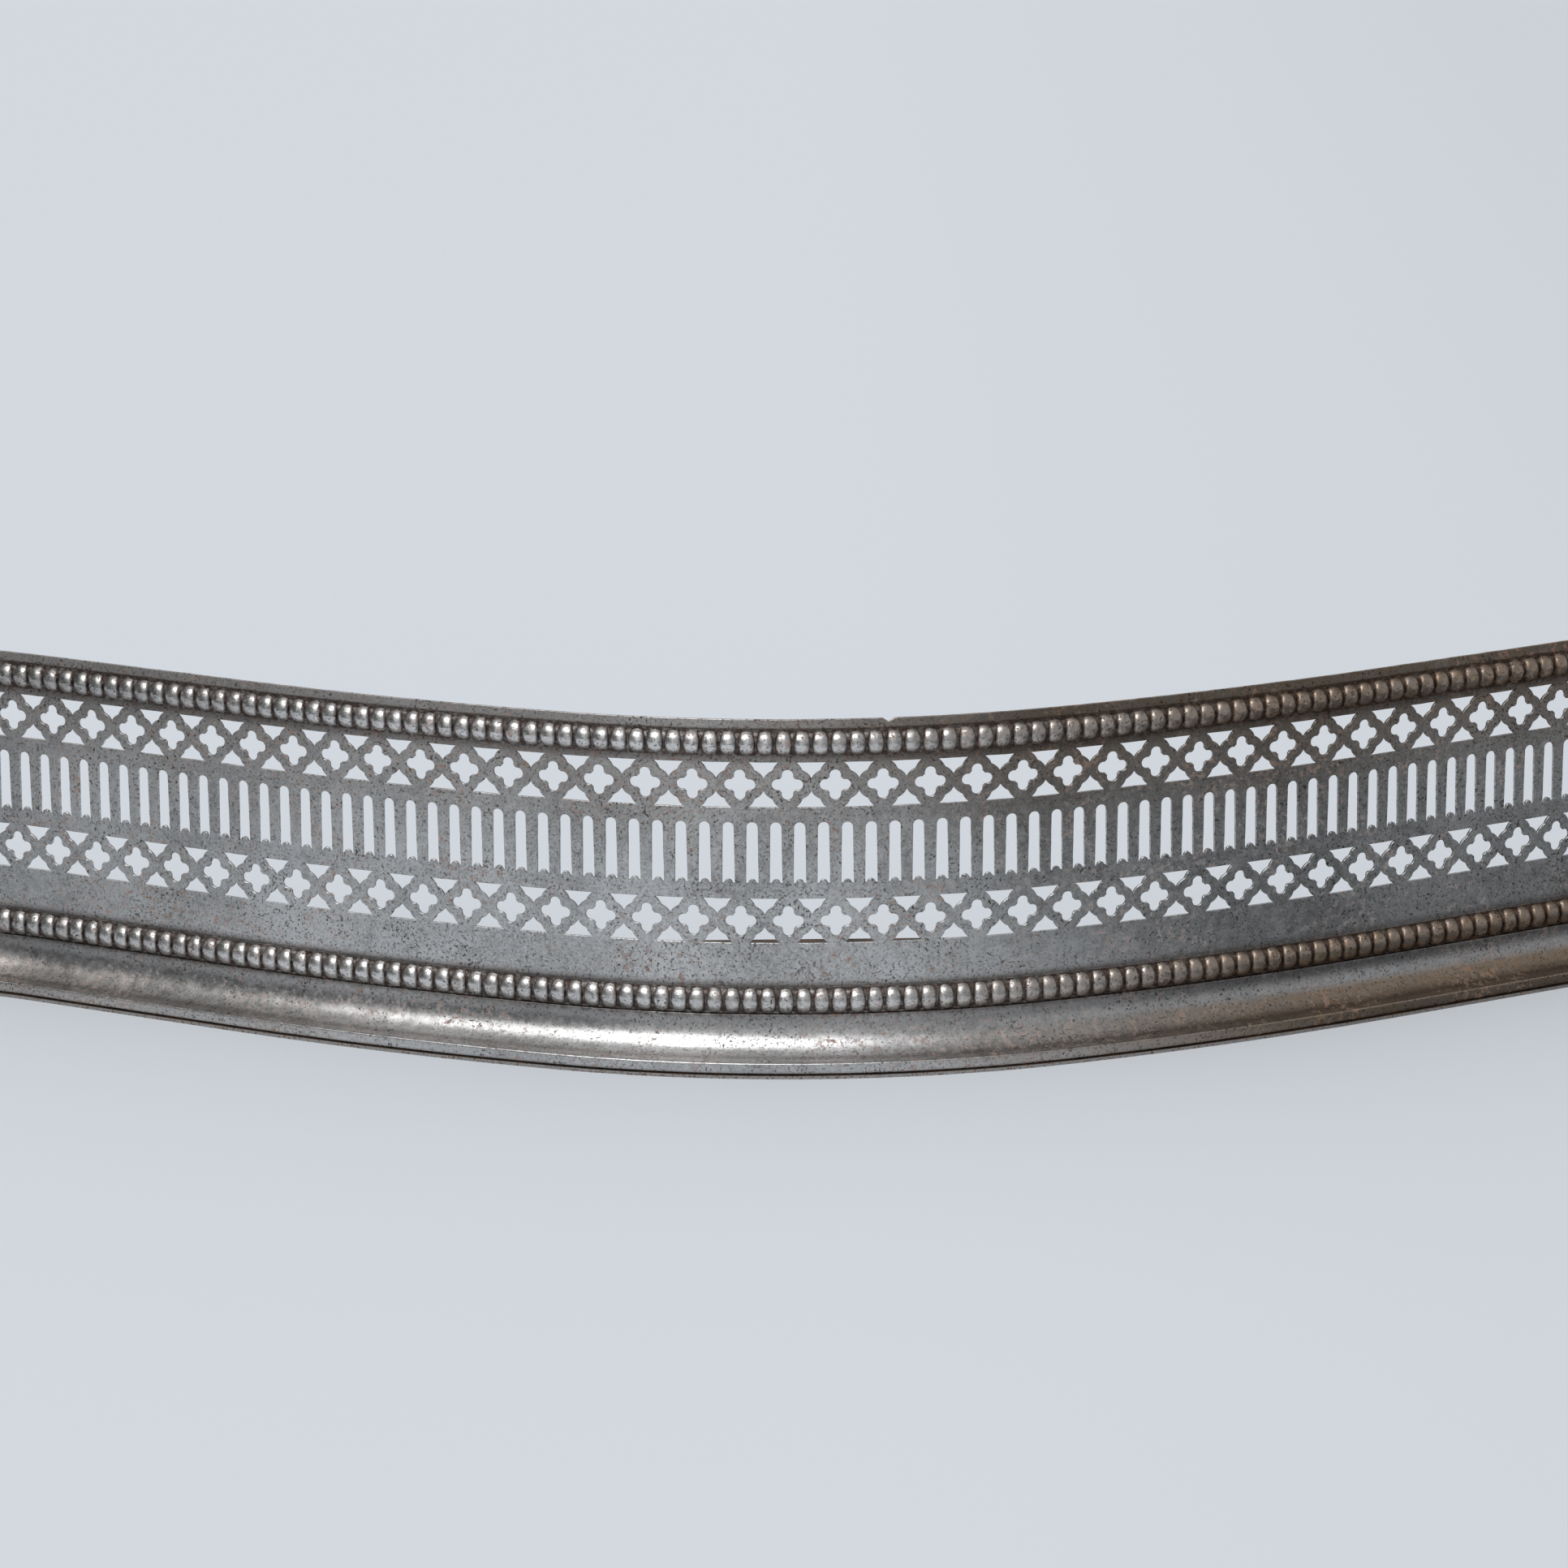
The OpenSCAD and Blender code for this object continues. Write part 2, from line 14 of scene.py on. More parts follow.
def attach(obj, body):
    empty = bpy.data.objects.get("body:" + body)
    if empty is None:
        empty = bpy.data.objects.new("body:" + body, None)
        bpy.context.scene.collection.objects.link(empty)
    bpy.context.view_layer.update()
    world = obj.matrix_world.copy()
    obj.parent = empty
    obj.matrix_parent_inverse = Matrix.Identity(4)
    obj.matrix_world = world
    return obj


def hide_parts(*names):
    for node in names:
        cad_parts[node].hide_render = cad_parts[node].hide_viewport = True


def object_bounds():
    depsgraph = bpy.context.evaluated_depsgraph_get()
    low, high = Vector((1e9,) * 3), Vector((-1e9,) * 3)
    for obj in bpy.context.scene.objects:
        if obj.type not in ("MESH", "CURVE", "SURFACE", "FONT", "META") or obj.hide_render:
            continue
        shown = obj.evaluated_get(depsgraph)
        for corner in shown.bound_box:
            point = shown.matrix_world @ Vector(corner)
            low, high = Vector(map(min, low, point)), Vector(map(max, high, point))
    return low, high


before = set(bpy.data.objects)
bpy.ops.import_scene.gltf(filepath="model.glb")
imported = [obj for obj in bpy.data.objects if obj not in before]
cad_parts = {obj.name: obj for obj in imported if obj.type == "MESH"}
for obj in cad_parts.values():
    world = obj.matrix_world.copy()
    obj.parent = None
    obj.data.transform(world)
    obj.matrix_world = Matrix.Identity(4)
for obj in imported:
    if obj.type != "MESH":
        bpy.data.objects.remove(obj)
cad_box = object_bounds()

# ---- Gallery sheet ---------------------------------------------------------------------------
# Rolled steel about a millimetre thick, in three lengths with butt joints. The pattern was
# pierced and filed in the flat sheet, which was then bent to the serpentine front.

MM = 0.001
# The front's line from the middle to one end: radius and degrees of each bend (a radius below
# zero turns the other way), or a radius of 0 and the length of a straight.
FRONT = ((380, 17.5), (1050, 9), (0, 110), (-260, 26.5), (0, 60), (30, 90), (0, 4.3))
FRONT_STEP = 1.5
FENDER_H = 166.5
SHEET_T = 1.2
SHEET_FOOT_Z = 1.6
SHEET_EDGE_STEP = 2.75
EDGE_WEAR = 0.16
PITCH = 22.0
CENTRE_CELLS, END_CELLS = 21, 6
JOINT_GAP = 0.15
UPPER_ROW_Z, LOWER_ROW_Z, ROW_HALF_H = 135.4, 70.1, 10.75
LOBE_R, LOBE_OFFSET, BODY_R = 2.65, 4.6, 4.55
SPANDREL_NECK_H, SPANDREL_FOOT_W = 5.9, 7.4
SLOT_FOOT_Z, SLOT_H = 87.95, 29.6
SLOT_HEAD_W, SLOT_FOOT_W, SLOT_HUMP_H, HUMP_R = 5.2, 5.9, 2.1, 1.9
STRAP_RIVET_Z = (45.2, 76.1, 129.4, 141.0)
STRAP_RIVET_X, STRAP_HOLE_R = 4.0, 2.0
# How far the filing strays, and the scale of the noise that leads it
FILE_SLIP, SLIP_SCALE = 0.45, 130
# A nick in the top edge, right of the middle
NICK_X, NICK_HALF_W, NICK_DEPTH = 35.7, 1.0, 1.9
TOP_EDGE_H = 1.0


def add_object(name, data):
    """A new object in the scene."""
    made = bpy.data.objects.new(name, data)
    bpy.context.scene.collection.objects.link(made)
    return made


def half_front():
    """Points along one half of the front, from the middle to the end, and its length."""
    x = y = heading = run = 0.0
    points = [(x, y)]
    for radius, amount in FRONT:
        length = abs(radius) * math.radians(amount) if radius else amount
        steps = max(1, round(length / FRONT_STEP))
        turn = math.radians(amount) / steps * math.copysign(1, radius) if radius else 0.0
        chord = 2 * abs(radius) * math.sin(abs(turn) / 2) if radius else length / steps
        for _ in range(steps):
            x += chord * math.cos(heading + turn / 2)
            y += chord * math.sin(heading + turn / 2)
            heading += turn
            run += chord
            points.append((x, y))
    return points, run


def make_front_line():
    """The whole front as a curve on the floor, from the -X end to the +X end, and half its run."""
    right, run = half_front()
    shift = cad_box[1][1] - right[-1][1] * MM
    points = [(-x, y) for x, y in reversed(right[1:])] + right
    curve = bpy.data.curves.new("front_line", "CURVE")
    curve.dimensions = "3D"
    spline = curve.splines.new("POLY")
    spline.points.add(len(points) - 1)
    for point, (x, y) in zip(spline.points, points):
        point.co = (x * MM, y * MM + shift, 0, 1)
    return add_object("front_line", curve), run


front_line, half_run = make_front_line()


def add_node(tree, kind, inputs=None, **settings):
    """A node with its settings made, and each input given a value or joined to a socket."""
    node = tree.nodes.new(kind)
    for name, value in settings.items():
        setattr(node, name, value)
    for name, value in (inputs or {}).items():
        if isinstance(value, bpy.types.NodeSocket):
            tree.links.new(value, node.inputs[name])
        else:
            node.inputs[name].default_value = value
    return node


def maths(tree, operation, *values):
    """One step of arithmetic on numbers."""
    inputs = dict(enumerate(values))
    return add_node(tree, "ShaderNodeMath", inputs, operation=operation).outputs[0]


def vector_maths(tree, operation, first, second):
    """One step of arithmetic on two vectors, or on a vector and the number that scales it."""
    inputs = {0: first, "Scale" if operation == "SCALE" else 1: second}
    return add_node(tree, "ShaderNodeVectorMath", inputs, operation=operation).outputs[0]


def make_lay_tree():
    """Geometry nodes that set out a flat cell in a row, join the ends, and bend it all along
    the front. In the flat, X is the run from the middle, Y the depth and Z the height. Wander
    is how far the file's slips move the work within the sheet."""
    tree = bpy.data.node_groups.new("lay_along_front", "GeometryNodeTree")
    for name, kind in (
        ("Geometry", "Geometry"),
        ("Ends", "Object"),
        ("Front", "Object"),
        ("Count", "Int"),
        ("First", "Float"),
        ("Pitch", "Float"),
        ("Wander", "Float"),
        ("Material", "Material"),
    ):
        tree.interface.new_socket(name, in_out="INPUT", socket_type="NodeSocket" + kind)
    tree.interface.new_socket("Geometry", in_out="OUTPUT", socket_type="NodeSocketGeometry")
    given = add_node(tree, "NodeGroupInput").outputs

    first = add_node(tree, "ShaderNodeCombineXYZ", {"X": given["First"]}).outputs[0]
    step = add_node(tree, "ShaderNodeCombineXYZ", {"X": given["Pitch"]}).outputs[0]
    row = add_node(
        tree,
        "GeometryNodeMeshLine",
        {"Count": given["Count"], "Start Location": first, "Offset": step},
    )
    cells = add_node(
        tree,
        "GeometryNodeInstanceOnPoints",
        {"Points": row.outputs["Mesh"], "Instance": given["Geometry"]},
    )
    laid = add_node(tree, "GeometryNodeRealizeInstances", {"Geometry": cells.outputs[0]})
    ends = add_node(tree, "GeometryNodeObjectInfo", {"Object": given["Ends"]})
    joined = add_node(tree, "GeometryNodeJoinGeometry", {0: laid.outputs[0]})
    tree.links.new(ends.outputs["Geometry"], joined.inputs[0])
    merged = add_node(
        tree, "GeometryNodeMergeByDistance", {"Geometry": joined.outputs[0], "Distance": 1e-5}
    )

    place = add_node(tree, "GeometryNodeInputPosition").outputs[0]
    in_sheet = (1, 0, 1)
    on_sheet = vector_maths(tree, "MULTIPLY", place, in_sheet)
    slips = add_node(tree, "ShaderNodeTexNoise", {"Vector": on_sheet, "Scale": SLIP_SCALE})
    slip = vector_maths(tree, "SUBTRACT", slips.outputs["Color"], (0.5, 0.5, 0.5))
    slip = vector_maths(tree, "SCALE", slip, given["Wander"])
    slip = vector_maths(tree, "MULTIPLY", slip, in_sheet)
    strayed = vector_maths(tree, "ADD", place, slip)
    flat = add_node(tree, "ShaderNodeSeparateXYZ", {0: strayed}).outputs

    line = add_node(tree, "GeometryNodeObjectInfo", {"Object": given["Front"]}).outputs["Geometry"]
    whole = add_node(tree, "GeometryNodeCurveLength", {"Curve": line}).outputs[0]
    run = maths(tree, "MULTIPLY_ADD", whole, 0.5, flat["X"])
    sample = add_node(
        tree, "GeometryNodeSampleCurve", {"Curves": line, "Length": run}, mode="LENGTH"
    ).outputs
    along = add_node(tree, "ShaderNodeSeparateXYZ", {0: sample["Tangent"]}).outputs
    minus_y = maths(tree, "MULTIPLY", along["Y"], -1.0)
    inward = add_node(tree, "ShaderNodeCombineXYZ", {"X": minus_y, "Y": along["X"]}).outputs[0]
    deep = vector_maths(tree, "SCALE", inward, flat["Y"])
    foot = vector_maths(tree, "ADD", sample["Position"], deep)
    lift = add_node(tree, "ShaderNodeCombineXYZ", {"Z": flat["Z"]}).outputs[0]
    bent = vector_maths(tree, "ADD", foot, lift)
    moved = add_node(
        tree, "GeometryNodeSetPosition", {"Geometry": merged.outputs[0], "Position": bent}
    )
    clad = add_node(
        tree,
        "GeometryNodeSetMaterial",
        {"Geometry": moved.outputs[0], "Material": given["Material"]},
    )
    add_node(tree, "NodeGroupOutput", {0: clad.outputs[0]})
    return tree


lay_tree = make_lay_tree()


def lay_along_front(name, cell, ends, material, first, pitch, count, sharp=35, wander=0.0):
    """Makes a piece from a flat cell mesh and the flat mesh of its ends, by the tree above."""
    end_piece = add_object(name + "_ends", ends)
    piece = add_object(name, cell)
    modifier = piece.modifiers.new("lay", "NODES")
    modifier.node_group = lay_tree
    values = {
        "Ends": end_piece,
        "Front": front_line,
        "Count": count,
        "First": first * MM,
        "Pitch": pitch * MM,
        "Wander": wander * MM,
        "Material": material,
    }
    for item in lay_tree.interface.items_tree:
        if item.in_out == "INPUT" and item.name in values:
            modifier[item.identifier] = values[item.name]
    bpy.context.view_layer.update()
    evaluated = piece.evaluated_get(bpy.context.evaluated_depsgraph_get())
    mesh = bpy.data.meshes.new_from_object(evaluated)
    piece.modifiers.clear()
    piece.data = mesh
    mesh.name = name
    bpy.data.objects.remove(end_piece)
    mesh.shade_smooth()
    mesh.set_sharp_from_angle(angle=math.radians(sharp))
    return piece


def arc(cx, cz, radius, start, stop, steps):
    """Points on an arc, its ends included, with the angles in degrees."""
    angles = [math.radians(start + (stop - start) * i / steps) for i in range(steps + 1)]
    return [(cx + radius * math.cos(a), cz + radius * math.sin(a)) for a in angles]


def quatrefoil_outline(cz):
    """Outline of one quatrefoil: four round lobes, with a round body between them."""
    notch = math.degrees(math.asin(LOBE_R / BODY_R))
    quarter = arc(LOBE_OFFSET, 0, LOBE_R, -90, 90, steps=10)
    quarter += arc(0, 0, BODY_R, notch, 90 - notch, steps=3)
    points = []
    for turn in range(4):
        c, s = math.cos(turn * math.pi / 2), math.sin(turn * math.pi / 2)
        points += [(x * c - z * s, cz + x * s + z * c) for x, z in quarter]
    return points


def half_spandrel(cz, up):
    """Left edge of a three-sided opening centred on x = 0, from its apex to its base."""
    side_x = PITCH / 2 - LOBE_OFFSET
    side_r = math.hypot(side_x, SPANDREL_NECK_H / 2)
    top_r = math.hypot(SPANDREL_FOOT_W / 2, ROW_HALF_H - LOBE_OFFSET)
    points = []
    steps = 16
    for i in range(steps + 1):
        z = SPANDREL_NECK_H / 2 + (ROW_HALF_H - SPANDREL_NECK_H / 2) * i / steps
        side = side_x - math.sqrt(side_r**2 - z**2) if z < side_r else PITCH
        frame_edge = PITCH / 2 - math.sqrt(top_r**2 - (z - LOBE_OFFSET) ** 2)
        points.append((-min(side, frame_edge), cz + up * z))
    base_x, base_z = points[-1]
    return points + [(base_x * share, base_z) for share in (0.66, 0.33, 0.0)]


def slot_outline(cx):
    """Outline of a round-headed slot with a round hump in its foot."""
    head_z = SLOT_H - SLOT_HEAD_W / 2
    taper = (SLOT_HEAD_W - SLOT_FOOT_W) / 2
    shares = [i / 8 for i in range(1, 8)]
    right_side = [(SLOT_FOOT_W / 2 + taper * share, head_z * share) for share in shares]
    points = [(-SLOT_FOOT_W / 2, 0)]
    points += arc(0, SLOT_HUMP_H - HUMP_R, HUMP_R, 172, 8, steps=8)
    points += [(SLOT_FOOT_W / 2, 0)] + right_side
    points += arc(0, head_z, SLOT_HEAD_W / 2, 0, 180, steps=12)
    points += [(-x, z) for x, z in reversed(right_side)]
    return [(cx + x, SLOT_FOOT_Z + z) for x, z in points]


def set_back(points, distance, closed, fixed_x=()):
    """The line of points moved to its right by distance; a point on a fixed x stays on it."""
    moved = []
    count = len(points)
    for i, (x, z) in enumerate(points):
        before = points[i - 1] if closed or i else points[i]
        after = points[(i + 1) % count] if closed or i < count - 1 else points[i]
        dx, dz = after[0] - before[0], after[1] - before[1]
        length = math.hypot(dx, dz) or 1.0
        nx, nz = dz / length * distance, -dx / length * distance
        if any(abs(x - edge) < 1e-6 for edge in fixed_x):
            nx, nz = 0.0, math.copysign(distance, nz)
        moved.append((x + nx, z + nz))
    return moved


def finish_mesh(mesh, name):
    """Mesh data made of a bmesh, which is then freed."""
    data = bpy.data.meshes.new(name)
    mesh.to_mesh(data)
    mesh.free()
    return data


def gallery_cell(left, right, bites, holes):
    """Flat mesh of the sheet from x = left to right, in one cell of the pattern. Where bites
    holds "left" or "right", half spandrels open on the line between this cell and the next."""
    half = PITCH / 2
    outer = []

    def wall(line, kept_x, runs_on):
        """Adds a line of the outline, with a wall to the next line where it runs on."""
        walled = [True] * (len(line) - 1) + [runs_on]
        outer.extend(zip(line, set_back(line, -EDGE_WEAR, False, kept_x), walled))

    def rise(x, up):
        """Half spandrels up or down the side of the cell at x, from foot to head."""
        rows = []
        for cz in (LOWER_ROW_Z, UPPER_ROW_Z):
            rows.append(list(reversed(half_spandrel(cz, -1))))
            rows.append(half_spandrel(cz, 1))
        side = 1 if x > 0 else -1
        lines = [[(x + side * px, pz) for px, pz in line] for line in rows]
        return lines if up else [list(reversed(line)) for line in reversed(lines)]

    columns = max(1, round((right - left) / SHEET_EDGE_STEP))
    foot = [(left + (right - left) * i / columns, SHEET_FOOT_Z) for i in range(columns + 1)]
    head = [(x, FENDER_H) for x, _ in reversed(foot)]
    wall(foot, (left, right), "right" not in bites)
    if "right" in bites:
        for line in rise(half, True):
            wall(line, (half,), False)
    wall(head, (left, right), "left" not in bites)
    if "left" in bites:
        for line in rise(-half, False):
            wall(line, (-half,), False)
    loops = [outer]
    for line in holes:
        loops.append(list(zip(line, set_back(line, EDGE_WEAR, True), [True] * len(line))))

    mesh = bmesh.new()
    fronts, backs = [], []
    for loop in loops:
        front, rim, back = [], [], []
        for (px, pz), (qx, qz), _ in loop:
            front.append(mesh.verts.new((qx * MM, 0, qz * MM)))
            rim.append(mesh.verts.new((px * MM, EDGE_WEAR * MM, pz * MM)))
            back.append(mesh.verts.new((px * MM, SHEET_T * MM, pz * MM)))
        for i, (_, _, walled) in enumerate(loop):
            j = (i + 1) % len(loop)
            if walled:
                mesh.faces.new((front[i], front[j], rim[j], rim[i]))
                mesh.faces.new((rim[i], rim[j], back[j], back[i]))
        for ring, edges in ((front, fronts), (back, backs)):
            for i, vert in enumerate(ring):
                after = ring[(i + 1) % len(ring)]
                edges.append(mesh.edges.get((vert, after)) or mesh.edges.new((vert, after)))
    for edges in (fronts, backs):
        bmesh.ops.triangle_fill(mesh, use_beauty=True, edges=edges)
    bmesh.ops.remove_doubles(mesh, verts=mesh.verts, dist=1e-6)
    bmesh.ops.recalc_face_normals(mesh, faces=mesh.faces)
    # The open sides leave the shell unclosed, so its outside is fixed by the front's faces.
    front_faces = [face for face in mesh.faces if abs(face.calc_center_median().y) < 1e-7]
    if sum(face.normal.y * face.calc_area() for face in front_faces) > 0:
        bmesh.ops.reverse_faces(mesh, faces=mesh.faces)
    return finish_mesh(mesh, "cell")


def move_along(mesh, run):
    """Moves a flat mesh along the front by run millimetres."""
    mesh.transform(Matrix.Translation((run * MM, 0, 0)))
    return mesh


def join_meshes(parts):
    """One mesh of several."""
    whole = bmesh.new()
    for part in parts:
        whole.from_mesh(part)
    return finish_mesh(whole, "joined")


def piercings():
    """The holes inside one cell: two quatrefoils and two slots."""
    holes = [quatrefoil_outline(LOWER_ROW_Z), quatrefoil_outline(UPPER_ROW_Z)]
    return holes + [slot_outline(-PITCH / 4), slot_outline(PITCH / 4)]


def strap_holes(x):
    """Countersunk holes for the strap's rivets, in a stile."""
    return [arc(x, z, STRAP_HOLE_R, 360, 30, steps=11) for z in STRAP_RIVET_Z]


def noise(tree, place, scale, detail, roughness=0.5):
    """Noise about 0.5, over the place."""
    inputs = {"Vector": place, "Scale": scale, "Detail": detail, "Roughness": roughness}
    return add_node(tree, "ShaderNodeTexNoise", inputs).outputs["Fac"]


def spread(tree, value, low, high, to_low=0.0, to_high=1.0):
    """The value's stretch from low to high, spread over to_low to to_high and held at both."""
    inputs = {"Value": value, 1: low, 2: high, 3: to_low, 4: to_high}
    return add_node(tree, "ShaderNodeMapRange", inputs).outputs[0]


def product(tree, *values):
    """All the values multiplied together."""
    whole = values[0]
    for value in values[1:]:
        whole = maths(tree, "MULTIPLY", whole, value)
    return whole


def blend(tree, share, *colours):
    """The first colour where the share is 0, and the second where it is 1."""
    inputs = {0: share}
    for number, colour in enumerate(colours):
        solid = not isinstance(colour, bpy.types.NodeSocket)
        inputs[6 + number] = (*colour, 1) if solid else colour
    return add_node(tree, "ShaderNodeMix", inputs, data_type="RGBA").outputs[2]


def start_material(name):
    """A new material, its tree, its shader and the place on the piece."""
    material = bpy.data.materials.new(name)
    material.use_nodes = True
    tree = material.node_tree
    place = add_node(tree, "ShaderNodeTexCoord").outputs["Object"]
    return material, tree, tree.nodes["Principled BSDF"], place


# Over how long a run the brown patina comes in, and over what height it ends
PATINA_RUN, PATINA_FADE = 200, 3
# Colour of the dark lines along given heights: painted shade where a neighbouring part or a crease
# shades the steel, and dirt or rust where it is real
SHADE_AND_GRIME_COLOUR = (0.075, 0.055, 0.042)
PIT_COLOUR = (0.050, 0.040, 0.036)
RUST_COLOUR = (0.22, 0.095, 0.055)


def steel(
    name,
    light,
    dark,
    rough,
    brown,
    shade_and_grime=(),
    bump=0.5,
    left_share=0.0,
    brown_colour=(0.33, 0.235, 0.155),
):
    """Worn polished steel: cloudy tone, fine dark pits, rust in spots, and faint scratches.
    Brown is how far along x a brown patina starts, the heights where it starts and is full, and
    the one where it ends. Each dark line is given by its height, its reach above and below that,
    and its share; most are painted shade beside a neighbouring part or in a crease, some are real
    dirt or rust. Left_share is how strongly the patina lies on the left too."""
    material, tree, shader, place = start_material(name)
    split = add_node(tree, "ShaderNodeSeparateXYZ", {0: place}).outputs
    clouds = noise(tree, place, 11, 4, 0.6)
    mottle = noise(tree, place, 240, 6, 0.75)
    grain = noise(tree, place, 1100, 3, 0.55)
    clusters = spread(tree, noise(tree, place, 48, 4, 0.6), 0.36, 0.60, 0.35, 1.0)
    pits = product(tree, spread(tree, noise(tree, place, 760, 5, 0.65), 0.55, 0.61), clusters)
    rust_spots = spread(tree, noise(tree, place, 330, 5, 0.7), 0.52, 0.66)
    rust_areas = spread(tree, noise(tree, place, 27, 4, 0.6), 0.42, 0.60)
    rusty = product(tree, rust_spots, rust_areas, 0.8)
    lines = add_node(tree, "ShaderNodeMapping", {"Vector": place, "Scale": (30, 30, 2600)})
    scratches = noise(tree, lines.outputs[0], 1.0, 4, 0.6)

    cloudy = maths(tree, "ADD", maths(tree, "ADD", clouds, mottle), product(tree, grain, 0.8))
    colour = blend(tree, spread(tree, cloudy, 1.1, 1.6), dark, light)
    brown_x, brown_low, brown_full, brown_end = brown
    patina = product(
        tree,
        spread(
            tree,
            maths(tree, "MAXIMUM", split["X"], product(tree, split["X"], -left_share)),
            brown_x * MM,
            (brown_x + PATINA_RUN) * MM,
        ),
        spread(tree, split["Z"], brown_low * MM, brown_full * MM),
        spread(tree, split["Z"], brown_end * MM, (brown_end - PATINA_FADE) * MM),
        spread(tree, mottle, 0.3, 0.6, 0.5, 0.95),
    )
    colour = blend(tree, patina, colour, brown_colour)
    # Dark lines along given heights, each fading over its reach: painted shade beside neighbouring
    # parts and in creases, or real dirt and rust
    for height, reach, share in shade_and_grime:
        away = maths(tree, "ABSOLUTE", maths(tree, "SUBTRACT", split["Z"], height * MM))
        uneven = spread(tree, mottle, 0.35, 0.6, 0.45 * share, share)
        layer = product(tree, spread(tree, away, reach * MM, 0.0), uneven)
        colour = blend(tree, layer, colour, SHADE_AND_GRIME_COLOUR)
    colour = blend(tree, product(tree, pits, 0.9), colour, PIT_COLOUR)
    colour = blend(tree, rusty, colour, RUST_COLOUR)
    tree.links.new(colour, shader.inputs["Base Color"])
    tree.links.new(maths(tree, "SUBTRACT", 1.0, rusty), shader.inputs["Metallic"])
    dull = spread(tree, mottle, 0.3, 0.7, rough - 0.07, rough + 0.11)
    dull = maths(tree, "ADD", dull, product(tree, pits, 0.15))
    dull = maths(tree, "ADD", dull, product(tree, rusty, 0.3))
    tree.links.new(dull, shader.inputs["Roughness"])

    relief = maths(tree, "SUBTRACT", product(tree, grain, 0.3), pits)
    relief = maths(tree, "ADD", relief, product(tree, scratches, 0.3))
    fine = add_node(
        tree, "ShaderNodeBump", {"Height": relief, "Strength": bump, "Distance": 0.00012}
    ).outputs[0]
    waves = noise(tree, place, 60, 2, 0.55)
    broad = add_node(
        tree,
        "ShaderNodeBump",
        {"Height": waves, "Strength": 0.35, "Distance": 0.0012, "Normal": fine},
    )
    tree.links.new(broad.outputs[0], shader.inputs["Normal"])
    return material


gallery_steel = steel(
    "gallery_steel",
    light=(0.70, 0.70, 0.695),
    dark=(0.34, 0.335, 0.33),
    rough=0.35,
    brown=(-80, 100, 158, 180),
    # Painted shade: dark lines under the upper beaded strip, above the lower one and along the top
    # of the upper one, where the strips shade the sheet; partly real dirt under the upper strip
    shade_and_grime=((150.2, 6.0, 0.95), (37.8, 4.2, 0.85), (161.6, 1.4, 0.85)),
)
half = PITCH / 2
joint_run = PITCH * (CENTRE_CELLS + 0.5)
centre_end = joint_run - JOINT_GAP / 2
last_run = PITCH * (CENTRE_CELLS - 0.5)
cell = gallery_cell(-half, half, ("left", "right"), piercings())
right_end = gallery_cell(
    -half,
    centre_end - last_run,
    ("left",),
    piercings() + strap_holes(joint_run - STRAP_RIVET_X - last_run),
)
left_end = gallery_cell(
    last_run - centre_end,
    half,
    ("right",),
    piercings() + strap_holes(last_run - joint_run + STRAP_RIVET_X),
)
ends = join_meshes([move_along(right_end, last_run), move_along(left_end, -last_run)])
gallery = lay_along_front(
    "gallery_centre_sheet",
    cell,
    ends,
    gallery_steel,
    -last_run + PITCH,
    PITCH,
    2 * CENTRE_CELLS - 2,
    wander=FILE_SLIP,
)
for vert in gallery.data.vertices:
    on_top_edge = vert.co.z > (FENDER_H - TOP_EDGE_H) * MM
    if on_top_edge and abs(vert.co.x - NICK_X * MM) < NICK_HALF_W * MM:
        vert.co.z -= NICK_DEPTH * MM
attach(gallery, "root")
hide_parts("gallery_centre")

first_run = PITCH * (CENTRE_CELLS + 1.5)
far_run = first_run + PITCH * (END_CELLS - 1)
for side, word in ((1, "right"), (-1, "left")):
    near = gallery_cell(
        joint_run + JOINT_GAP / 2 - first_run,
        half,
        ("right",),
        piercings() + strap_holes(joint_run + STRAP_RIVET_X - first_run),
    )
    far = gallery_cell(-half, half_run - far_run, ("left",), piercings())
    ends = join_meshes([move_along(near, first_run), move_along(far, far_run)])
    cell = gallery_cell(-half, half, ("left", "right"), piercings())
    if side < 0:
        for part in (ends, cell):
            part.transform(Matrix.Scale(-1, 4, (1, 0, 0)))
            part.flip_normals()
    gallery = lay_along_front(
        f"gallery_{word}_sheet",
        cell,
        ends,
        gallery_steel,
        side * (first_run + PITCH),
        side * PITCH,
        END_CELLS - 2,
        wander=FILE_SLIP,
    )
    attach(gallery, "root")
    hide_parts(f"gallery_{word}")

# ---- Beaded strips ---------------------------------------------------------------------------
# Bars of solid steel, scored across and filed to look like strung beads, with a flat flange
# along the top and bottom edge. The crowns are worn bright; old rust stays in the grooves.

UPPER_BEADS, LOWER_BEADS, LOWER_JOINT_BEADS = 74, 76, 61
UPPER_BEAD_Z, UPPER_BEAD_H, UPPER_STRIP_D = 155.7, 11.4, 0.15
LOWER_BEAD_Z, LOWER_BEAD_H, LOWER_STRIP_D = 32.2, 12.2, 1.5
FLANGE_H, FLANGE_T = 12.4, 0.8
# The round core between the beads: how far it lies below them and within their height, and its
# lines, each a share of its half height and of how far it stands out
CORE_DROP, CORE_INSET = 2.1, 0.9
CORE_LINES = ((1.0, 0.0), (0.85, 0.5), (0.5, 0.85), (0.0, 1.0))
CORE_LINES += tuple((-height, out) for height, out in CORE_LINES[-2::-1])
BEAD_OUT, BEAD_GAP = 4.2, 0.2
# How deep a bead's edge lies in the flange's thickness
BEAD_SINK = 0.6
